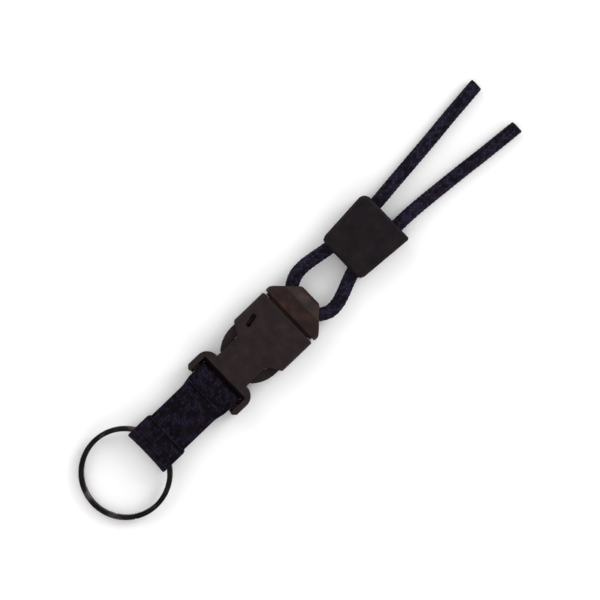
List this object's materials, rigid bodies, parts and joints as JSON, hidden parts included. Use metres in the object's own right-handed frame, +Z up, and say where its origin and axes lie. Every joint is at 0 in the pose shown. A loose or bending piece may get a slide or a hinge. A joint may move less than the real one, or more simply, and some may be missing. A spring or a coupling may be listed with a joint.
{
  "type": "quick-release lanyard attachment",
  "caption": "Lanyard drop with a split key ring on a short sewn webbing tab, a side-release buckle and a braided cord loop through a two-channel slider.",
  "frame": {"origin": "on the surface the object lies on, under the middle of its hard parts", "axes": "+Y along the object from the key ring to the cord ends, +Z up out of the surface, +X to the right seen from above"},
  "size_m": [0.0254, 0.1533, 0.0072],
  "materials": {
    "ring_steel": "satin black",
    "webbing": "coarse woven",
    "thread": "twisted thread",
    "buckle_plastic": "matte moulded",
    "cord_braid": "braided",
    "slider_plastic": "matte moulded"
  },
  "bodies": {
    "socket": {"buckle_socket": "buckle_plastic"},
    "strap": {"strap": "webbing", "stitch_row_ring": "thread", "stitch_row_bar": "thread"},
    "ring": {"split_ring": "ring_steel"},
    "plug": {"plug_body": "buckle_plastic", "cord": "cord_braid"},
    "arm_left": {"plug_arm_left": "buckle_plastic"},
    "arm_right": {"plug_arm_right": "buckle_plastic"},
    "slider": {"cord_slider": "slider_plastic"}
  },
  "joints": [
    {"name": "strap_swing", "type": "hinge", "parent": "socket", "child": "strap", "pos_m": [0, -0.0091, 0.0036], "axis": [1, 0, 0], "range_deg": [-80, 80]},
    {"name": "ring_swing", "type": "hinge", "parent": "strap", "child": "ring", "pos_m": [0, -0.0321, 0.0036], "axis": [1, 0, 0], "range_deg": [-130, 124]},
    {"name": "plug_slide", "type": "slide", "parent": "socket", "child": "plug", "axis": [0, 1, 0], "range_m": [0, 0.024], "deforming": ["plug_arm_left", "plug_arm_right"]},
    {"name": "arm_left_squeeze", "type": "hinge", "parent": "plug", "child": "arm_left", "pos_m": [-0.00615, 0.0143, 0.0036], "axis": [0, 0, 1], "range_deg": [0, 9], "stiffness_Nm_per_rad": 0.4},
    {"name": "arm_right_squeeze", "type": "hinge", "parent": "plug", "child": "arm_right", "pos_m": [0.00615, 0.0143, 0.0036], "axis": [0, 0, -1], "range_deg": [0, 9], "stiffness_Nm_per_rad": 0.4},
    {"name": "slider_slide", "type": "slide", "parent": "plug", "child": "slider", "axis": [0, 1, 0], "range_m": [-0.008, 0.03], "deforming": ["cord"]}
  ]
}
